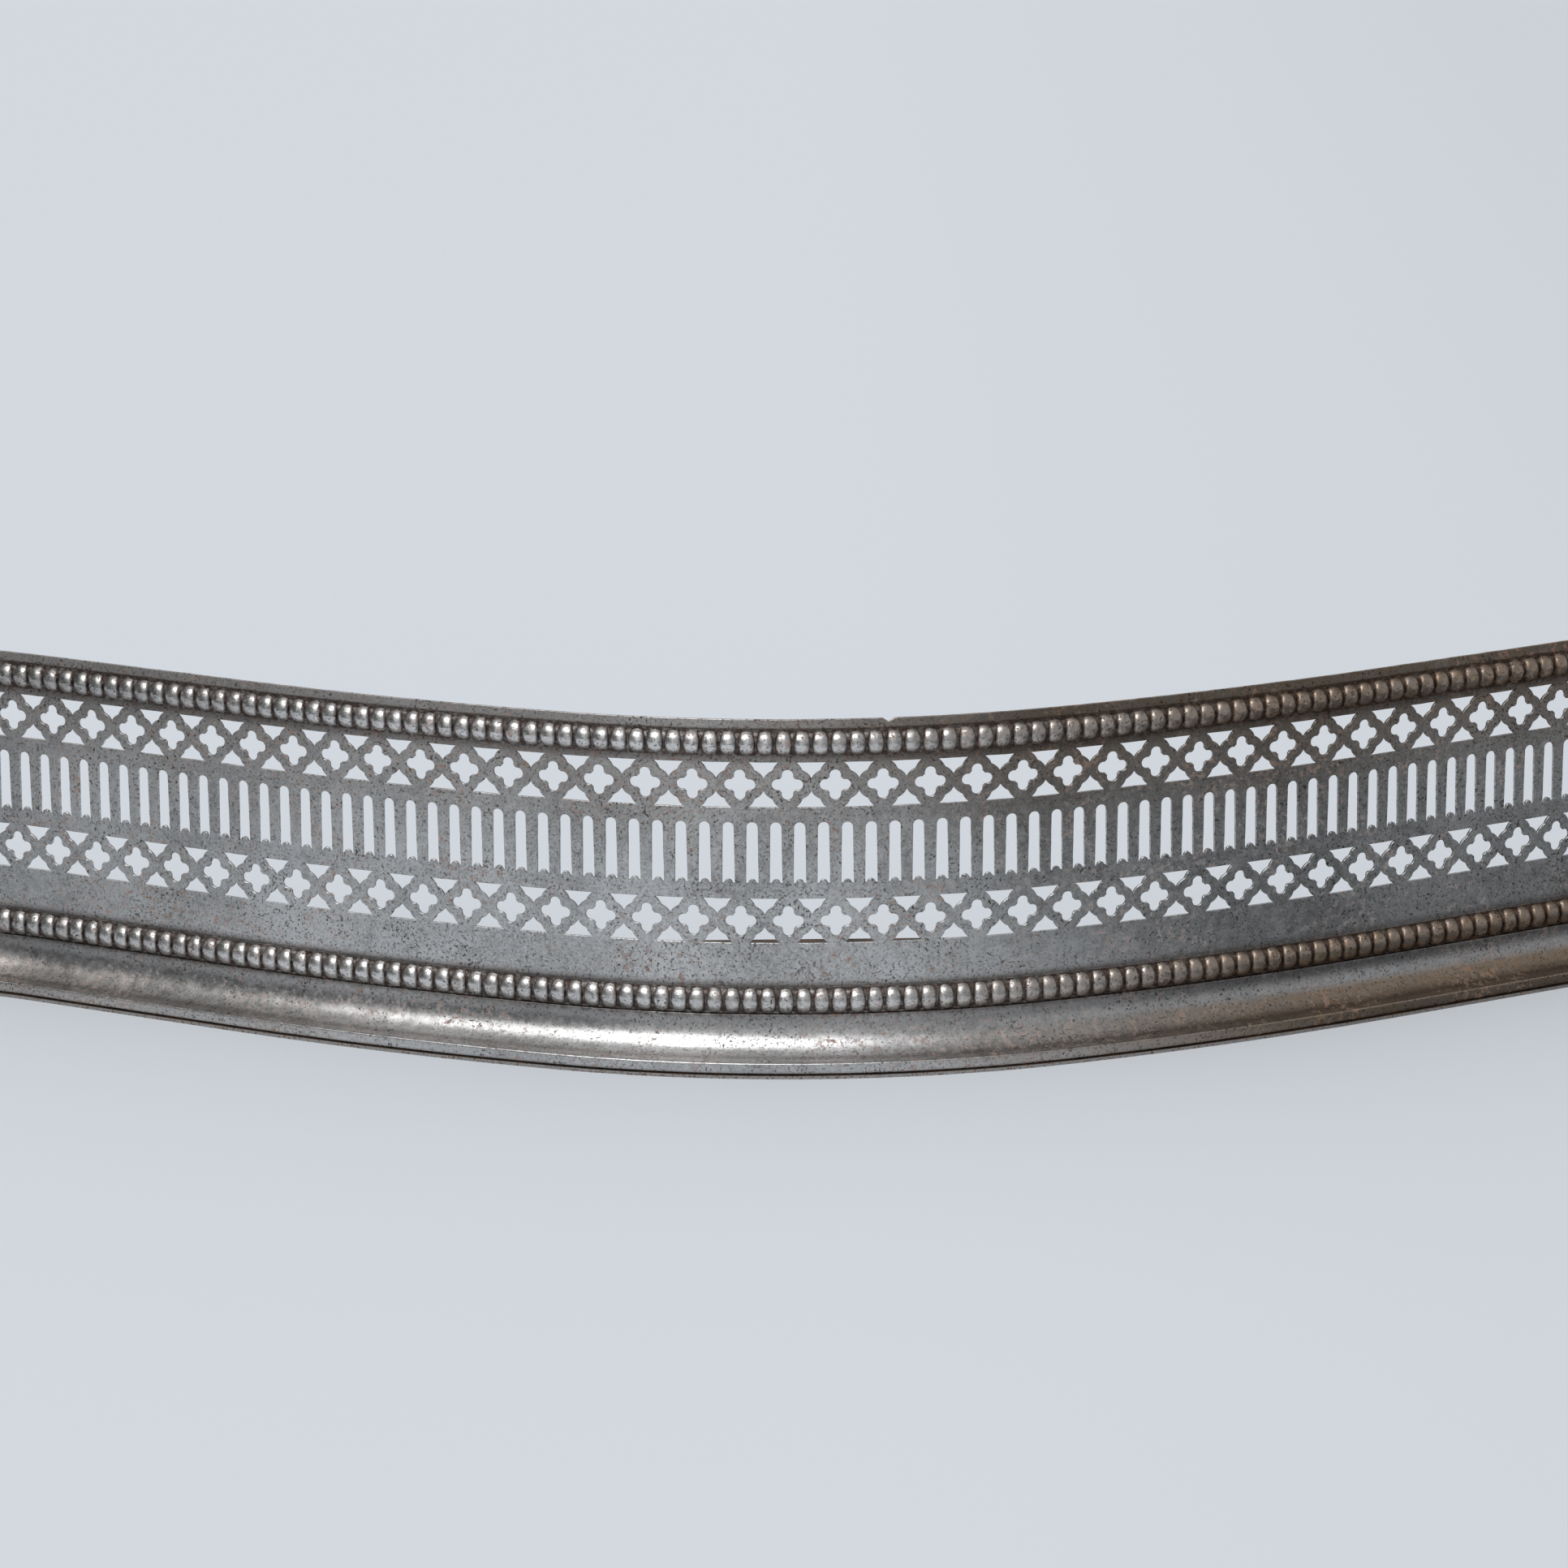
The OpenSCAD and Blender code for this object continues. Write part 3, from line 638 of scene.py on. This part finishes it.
# A bead's lines, as shares of its half length, with how far each stands out, and of its half
# height. The crown is filed flat along the strip and comes to a soft ridge at half height.
BEAD_LINES = ((-1.0, 0.0), (-0.97, 0.50), (-0.84, 0.83), (-0.60, 0.98), (0.0, 1.0))
BEAD_LINES += tuple((-along, out) for along, out in BEAD_LINES[-2::-1])
BEAD_HEIGHTS = (-1.0, -0.94, -0.76, -0.45, 0.0, 0.45, 0.76, 0.94, 1.0)
# How the swell falls off with height, and how much a bead's corners draw in along and up
SWELL_POWER, DRAW_IN_X, DRAW_IN_Z = 1.5, 0.36, 0.34
# The share of the crown that is worn bright, and how soon it is brown towards the sides and head
BRIGHT_SHARE, SIDE_BROWN, HEAD_BROWN, HEAD_SHARE = 0.62, 0.3, 0.4, 0.55


def section_ring(mesh, section, x, depth=0.0, height_z=0.0):
    """Vertices of a section (out, height) at x along the front."""
    return [
        mesh.verts.new((x * MM, -(depth + out) * MM, (height_z + z) * MM)) for out, z in section
    ]


def wall_rings(mesh, ring, after):
    """Faces all round between two rings of a section."""
    for i in range(len(ring)):
        j = (i + 1) % len(ring)
        mesh.faces.new((ring[i], ring[j], after[j], after[i]))


def strip_section(bead_h):
    """Outline (out, height) of the flange and the core that carry the beads."""
    core_reach = BEAD_OUT - CORE_DROP
    core_half = bead_h / 2 - CORE_INSET
    section = [(0, -FLANGE_H / 2), (0, FLANGE_H / 2), (FLANGE_T, FLANGE_H / 2)]
    section += [(FLANGE_T + core_reach * out, core_half * z) for z, out in CORE_LINES]
    return section + [(FLANGE_T, -FLANGE_H / 2)]


def bead_cell(section, length, depth, height_z, bead_h):
    """One bead with its share of the flange and core. The attribute "groove" is 1 in the
    grooves and along the flange, and 0 on a bead's crown."""
    mesh = bmesh.new()
    groove = mesh.verts.layers.float.new("groove")
    rings = [section_ring(mesh, section, x, depth, height_z) for x in (-length / 2, length / 2)]
    for vert in rings[0] + rings[1]:
        vert[groove] = 1.0
    wall_rings(mesh, *rings)
    grid = []
    half_bead = (length - BEAD_GAP) / 2
    for u, stands in BEAD_LINES:
        line = []
        for v in BEAD_HEIGHTS:
            swell = (1 - abs(v) ** SWELL_POWER) ** 0.5 * stands
            out = FLANGE_T * BEAD_SINK + (FLANGE_T * (1 - BEAD_SINK) + BEAD_OUT) * swell
            x = u * half_bead * math.sqrt(1 - DRAW_IN_X * v * v)
            z = v * bead_h / 2 * math.sqrt(1 - DRAW_IN_Z * u * u)
            vert = mesh.verts.new((x * MM, -(depth + out) * MM, (height_z + z) * MM))
            side = max(0.0, abs(u) - BRIGHT_SHARE) / SIDE_BROWN
            head = max(0.0, abs(v) - BRIGHT_SHARE) / HEAD_BROWN
            vert[groove] = min(1.0, side + HEAD_SHARE * head)
            line.append(vert)
        grid.append(line)
    for a, b in zip(grid, grid[1:]):
        for i in range(len(BEAD_HEIGHTS) - 1):
            mesh.faces.new((a[i], b[i], b[i + 1], a[i + 1]))
    foot = [line[0] for line in grid] + grid[-1][1:] + [line[-1] for line in grid[-2::-1]]
    mesh.faces.new(list(reversed(foot + grid[0][-2:0:-1])))
    return finish_mesh(mesh, "bead")


def strip_ends(section, depth, height_z, first, last):
    """Flat ends that close the flange and core at both ends of a strip."""
    mesh = bmesh.new()
    groove = mesh.verts.layers.float.new("groove")
    for x, way in ((first, -1), (last, 1)):
        face = mesh.faces.new(section_ring(mesh, section, x, depth, height_z))
        face.normal_update()
        if face.normal.x * way < 0:
            face.normal_flip()
    for vert in mesh.verts:
        vert[groove] = 1.0
    return finish_mesh(mesh, "ends")


def add_groove_rust(material, colour):
    """Brown rust where the attribute "groove" says, and a smoother, brighter crown."""
    tree = material.node_tree
    shader = tree.nodes["Principled BSDF"]
    groove = add_node(tree, "ShaderNodeAttribute", attribute_name="groove").outputs["Fac"]
    place = add_node(tree, "ShaderNodeTexCoord").outputs["Object"]
    uneven = spread(tree, noise(tree, place, 420, 4), 0.3, 0.7, 0.6, 1.25)
    rust = spread(tree, product(tree, groove, uneven), 0.05, 1.0, 0.0, 0.93)
    before = shader.inputs["Base Color"].links[0].from_socket
    tree.links.new(blend(tree, rust, before, colour), shader.inputs["Base Color"])
    rough = shader.inputs["Roughness"].links[0].from_socket
    tree.links.new(maths(tree, "MULTIPLY_ADD", rust, 0.3, rough), shader.inputs["Roughness"])


bead_steel = steel(
    "bead_steel",
    light=(0.80, 0.79, 0.78),
    dark=(0.56, 0.545, 0.53),
    rough=0.27,
    brown=(20, -8, 0, 200),
    bump=0.3,
    brown_colour=(0.43, 0.31, 0.215),
)
add_groove_rust(bead_steel, (0.080, 0.050, 0.037))
upper_l = half_run / UPPER_BEADS
lower_l = half_run / LOWER_BEADS
STRIPS = (
    # node, bead length, first bead, last bead
    ("upper_beads_left", upper_l, -UPPER_BEADS, -2),
    ("upper_beads_right", upper_l, -1, UPPER_BEADS - 1),
    ("lower_beads_centre", lower_l, -LOWER_JOINT_BEADS, LOWER_JOINT_BEADS - 1),
    ("lower_beads_left", lower_l, -LOWER_BEADS, -LOWER_JOINT_BEADS - 1),
    ("lower_beads_right", lower_l, LOWER_JOINT_BEADS, LOWER_BEADS - 1),
)
for node, length, first, last in STRIPS:
    depth, height_z, bead_h = UPPER_STRIP_D, UPPER_BEAD_Z, UPPER_BEAD_H
    if node.startswith("lower"):
        depth, height_z, bead_h = LOWER_STRIP_D, LOWER_BEAD_Z, LOWER_BEAD_H
    section = strip_section(bead_h)
    strip = lay_along_front(
        node + "_strip",
        bead_cell(section, length, depth, height_z, bead_h),
        strip_ends(section, depth, height_z, first * length, (last + 1) * length),
        bead_steel,
        (first + 0.5) * length,
        length,
        last - first + 1,
        sharp=32,
    )
    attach(strip, "root")
    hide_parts(node)

# ---- Base moulding ---------------------------------------------------------------------------
# Sheet steel drawn to a cove between two fillets, with a flange behind the lower beads and a
# foot turned under on the floor plate. It is in three lengths, with its arrises worn bright.

MOULDING_T = 1.2
MOULDING_TOP = 38.4
MOULDING_JOINT = 511.2
MOULDING_CELL = 4.0
LAP = 0.15
FILLET_OUT, FILLET_Z, FILLET_H = 3.6, 25.9, 2.1
COVE_R = 16.4
ARRIS_R = 0.8
MOULDING_FOOT_Z, MOULDING_FOOT_W, BEND_R = 1.6, 11.0, 1.6


def moulding_outline():
    """Closed outline (out, height) of the moulding's metal, from the flange's head round the
    front to the foot and back inside."""
    cove_z = FILLET_Z - FILLET_H
    out = FILLET_OUT + COVE_R
    arris_z = cove_z - COVE_R
    bend_z = MOULDING_FOOT_Z + BEND_R
    heel = out - MOULDING_FOOT_W
    fillet_r = ARRIS_R * 0.6
    points = [(LAP + MOULDING_T, MOULDING_TOP), (LAP + MOULDING_T, FILLET_Z)]
    points += arc(FILLET_OUT - fillet_r, FILLET_Z - fillet_r, fillet_r, 90, 0, steps=3)
    points += arc(out, cove_z, COVE_R, 180, 268, steps=22)
    points += arc(out - ARRIS_R, arris_z - ARRIS_R, ARRIS_R, 88, 0, steps=4)
    points += arc(out - BEND_R, bend_z, BEND_R, 0, -90, steps=5)
    points += [(heel, MOULDING_FOOT_Z), (heel, MOULDING_FOOT_Z + MOULDING_T)]
    points += arc(out - BEND_R, bend_z, BEND_R - MOULDING_T, -90, 0, steps=3)
    inner_r = COVE_R + MOULDING_T
    low = math.degrees(math.acos(MOULDING_T / inner_r))
    points += arc(out, cove_z, inner_r, 180 + low, 180, steps=16)
    points += [(FILLET_OUT - MOULDING_T, FILLET_Z - MOULDING_T), (LAP, FILLET_Z - MOULDING_T)]
    return points + [(LAP, MOULDING_TOP)]


def moulding_cell(section, length):
    """A short length of the moulding, open at both ends."""
    mesh = bmesh.new()
    wall_rings(mesh, *[section_ring(mesh, section, x) for x in (-length / 2, length / 2)])
    return finish_mesh(mesh, "moulding")


def moulding_ends(section, first, last):
    """The two cut ends of a length of moulding."""
    mesh = bmesh.new()
    for x, way in ((first, -1), (last, 1)):
        ring = section_ring(mesh, section, x)
        edges = [mesh.edges.new((a, b)) for a, b in zip(ring, ring[1:] + ring[:1])]
        filled = bmesh.ops.triangle_fill(mesh, use_beauty=True, edges=edges)["geom"]
        for face in filled:
            if isinstance(face, bmesh.types.BMFace):
                face.normal_update()
                if face.normal.x * way < 0:
                    face.normal_flip()
    return finish_mesh(mesh, "ends")


moulding_steel = steel(
    "moulding_steel",
    light=(0.66, 0.655, 0.65),
    dark=(0.40, 0.395, 0.39),
    rough=0.30,
    brown=(40, -8, -5, 17),
    # Painted shade under the top fillet at the head of the cove and in the crease where the foot
    # meets the plate; the thin line just above the arris is a real rust line
    shade_and_grime=((25.8, 7.0, 0.8), (8.3, 1.0, 0.4), (1.6, 2.2, 0.85)),
    bump=0.12,
    left_share=0.25,
    brown_colour=(0.42, 0.30, 0.20),
)
section = moulding_outline()
MOULDINGS = (
    # node, and where it starts and ends along the front
    ("moulding_centre", -MOULDING_JOINT + LAP / 2, MOULDING_JOINT - LAP / 2),
    ("moulding_left", -half_run, -MOULDING_JOINT - LAP / 2),
    ("moulding_right", MOULDING_JOINT + LAP / 2, half_run),
)
for node, first, last in MOULDINGS:
    count = round((last - first) / MOULDING_CELL)
    length = (last - first) / count
    moulding = lay_along_front(
        node + "_length",
        moulding_cell(section, length),
        moulding_ends(section, first, last),
        moulding_steel,
        first + length / 2,
        length,
        count,
        sharp=40,
    )
    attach(moulding, "root")
    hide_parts(node)

bpy.data.objects.remove(front_line)

# ---- Floor plate, knees, straps and rivets ---------------------------------------------------
# Black iron under and behind the show front: a plate cut from sheet, bent knees that tie the
# gallery to it, straps behind the sheet's joints, and iron rivets. All carry a coat of rust.

BARE_IRON = (0.52, 0.51, 0.50)
PLATE_T = 1.6
# The height over which the bare edge of the plate meets its rusty face
BARE_FADE = 0.1


def between(tree, share, low, high):
    """The number low where the share is 0, and high where it is 1."""
    inputs = {0: share, 2: low, 3: high}
    return add_node(tree, "ShaderNodeMix", inputs, data_type="FLOAT").outputs[0]


def rusty_iron(name, base, rust, rough, edge_z=0.0):
    """Iron under thin old rust, in patches, with a rough grain. Below the height edge_z it is
    rubbed bare, and the rust is left in spots."""
    material, tree, shader, place = start_material(name)
    patches = spread(tree, noise(tree, place, 38, 7, 0.68), 0.38, 0.62)
    grain = noise(tree, place, 900, 4)
    spots = spread(tree, grain, 0.47, 0.62)
    height = add_node(tree, "ShaderNodeSeparateXYZ", {0: place}).outputs["Z"]
    bare = spread(tree, height, edge_z * MM, (edge_z - BARE_FADE) * MM)
    rusted = between(tree, bare, patches, spots)
    colour = blend(tree, rusted, blend(tree, bare, base, BARE_IRON), rust)
    specks = spread(tree, grain, 0.35, 0.7, 0.55, 1.2)
    tree.links.new(vector_maths(tree, "SCALE", colour, specks), shader.inputs["Base Color"])
    tree.links.new(spread(tree, rusted, 0.0, 1.0, 0.75, 0.1), shader.inputs["Metallic"])
    shader.inputs["Roughness"].default_value = rough
    bump = add_node(tree, "ShaderNodeBump", {"Height": grain, "Strength": 0.6, "Distance": 0.0002})
    tree.links.new(bump.outputs[0], shader.inputs["Normal"])
    return material


plate_iron = rusty_iron(
    "plate_iron", (0.09, 0.075, 0.062), (0.12, 0.068, 0.042), 0.6, edge_z=PLATE_T
)
knee_iron = rusty_iron("knee_iron", (0.09, 0.075, 0.065), (0.15, 0.080, 0.045), 0.58)
rivet_iron = rusty_iron("rivet_iron", (0.13, 0.115, 0.100), (0.17, 0.100, 0.060), 0.50)
IRON_NODES = {"base_plate": plate_iron, "strap_left": knee_iron, "strap_right": knee_iron}
IRON_NODES |= {f"knee_{number}": knee_iron for number in range(1, 8)}
RIVETED = ("upper_bead", "lower_bead", "knee", "plate", "strap")
IRON_NODES |= {f"{name}_rivets": rivet_iron for name in RIVETED}
for node, material in IRON_NODES.items():
    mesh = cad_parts[node].data
    mesh.materials.clear()
    mesh.materials.append(material)

# ---- Floor, light and camera -----------------------------------------------------------------
# A pale seamless floor under an even sky and one broad soft sun from the upper left. Where the
# steel mirrors them, the floor and sky are given darker to the right, as in a room.

FLOOR_SIZE = 14.0
FLOOR_COLOUR = (0.655, 0.687, 0.722)
SKY_COLOUR, SKY_STRENGTH = (0.98, 1.0, 1.03), 0.68
SUN_STRENGTH, SUN_SPREAD = 1.25, 38
# Levels in even steps along an axis, from one side of the middle to the other
# Painted shade on the floor: its colour darkens towards the right, where the light falls off
FLOOR_SHADE_TO_RIGHT = (1.0, 1.0, 1.0, 0.97, 0.93)
MIRRORED_FLOOR_X = (0.6, 0.85, 1.0, 1.0, 1.0, 0.95, 0.6, 0.2, 0.18, 0.3)
MIRRORED_FLOOR_Y = (0.5, 0.8, 1.0, 1.0, 1.0, 1.0)
MIRRORED_SKY_X = (0.1, 0.14, 0.38, 0.95, 0.52, 0.42, 0.5, 0.5)


def profile_along(tree, place, axis, reach, levels):
    """Even steps of level along an axis, from -reach to reach, smoothly joined."""
    split = add_node(tree, "ShaderNodeSeparateXYZ", {0: place}).outputs[axis]
    ramp = add_node(tree, "ShaderNodeValToRGB", {"Fac": spread(tree, split, -reach, reach)})
    ramp.color_ramp.interpolation = "EASE"
    stops = ramp.color_ramp.elements
    while len(stops) < len(levels):
        stops.new(0.5)
    for number, level in enumerate(levels):
        stops[number].position = number / (len(levels) - 1)
        stops[number].color = (level, level, level, 1)
    return ramp.outputs["Color"]


def darken_in_gloss(tree, colour, factor):
    """The colour, times factor where a glossy ray sees it."""
    glossy = add_node(tree, "ShaderNodeLightPath").outputs["Is Glossy Ray"]
    return vector_maths(tree, "SCALE", colour, between(tree, glossy, 1.0, factor))


floor_mesh = bpy.data.meshes.new("floor")
span = FLOOR_SIZE / 2
floor_mesh.from_pydata(
    [(-span, -span, 0), (span, -span, 0), (span, span, 0), (-span, span, 0)], [], [(0, 1, 2, 3)]
)
floor = add_object("floor", floor_mesh)
floor_paint, tree, paint, place = start_material("floor_paint")
paint.inputs["Roughness"].default_value = 0.9
paint.inputs["Specular IOR Level"].default_value = 0.2
# Painted shade: the floor's own colour is darker towards the right
side = profile_along(tree, place, "X", 0.7, FLOOR_SHADE_TO_RIGHT)
colour = vector_maths(tree, "MULTIPLY", FLOOR_COLOUR, side)
across = profile_along(tree, place, "X", 0.5, MIRRORED_FLOOR_X)
beyond = profile_along(tree, place, "Y", 0.9, MIRRORED_FLOOR_Y)
mirrored = darken_in_gloss(tree, colour, product(tree, across, beyond))
tree.links.new(mirrored, paint.inputs["Base Color"])
floor_mesh.materials.append(floor_paint)

world = bpy.data.worlds.new("studio")
bpy.context.scene.world = world
world.use_nodes = True
tree = world.node_tree
sky = tree.nodes["Background"]
sky.inputs["Strength"].default_value = SKY_STRENGTH
place = add_node(tree, "ShaderNodeTexCoord").outputs["Generated"]
across = profile_along(tree, place, "X", 1.0, MIRRORED_SKY_X)
tree.links.new(darken_in_gloss(tree, SKY_COLOUR, across), sky.inputs["Color"])

sun_data = bpy.data.lights.new("soft_sun", "SUN")
sun_data.energy = SUN_STRENGTH
sun_data.angle = math.radians(SUN_SPREAD)
sun = add_object("soft_sun", sun_data)
sun.rotation_euler = Vector((0.25, 0.47, -0.85)).to_track_quat("-Z", "Y").to_euler()

# The camera stands about three metres off and looks down a little, with a long lens, so that
# only the middle of the fender fills the picture.
LOOK_DOWN, ROLL, YAW = math.radians(16.074), math.radians(-0.407), math.radians(-0.619)
CAMERA_X, DISTANCE, AIM_Z = -12.57, 2912.5, 135.97
BOW_FRONT_Y = cad_box[0][1] / MM + 20.5
camera_data = bpy.data.cameras.new("camera")
camera_data.sensor_width = 36
camera_data.lens = 145.81
camera_data.clip_end = 50
camera = add_object("camera", camera_data)
stand = Vector((CAMERA_X, -DISTANCE * math.cos(LOOK_DOWN), DISTANCE * math.sin(LOOK_DOWN)))
about = Matrix.Rotation(YAW, 4, "Z")
spot = about @ stand + Vector((0, BOW_FRONT_Y, AIM_Z))
turn = about @ Matrix.Rotation(math.pi / 2 - LOOK_DOWN, 4, "X") @ Matrix.Rotation(ROLL, 4, "Z")
camera.matrix_world = Matrix.Translation(spot * MM) @ turn
bpy.context.scene.camera = camera
bpy.context.scene.view_settings.view_transform = "Standard"
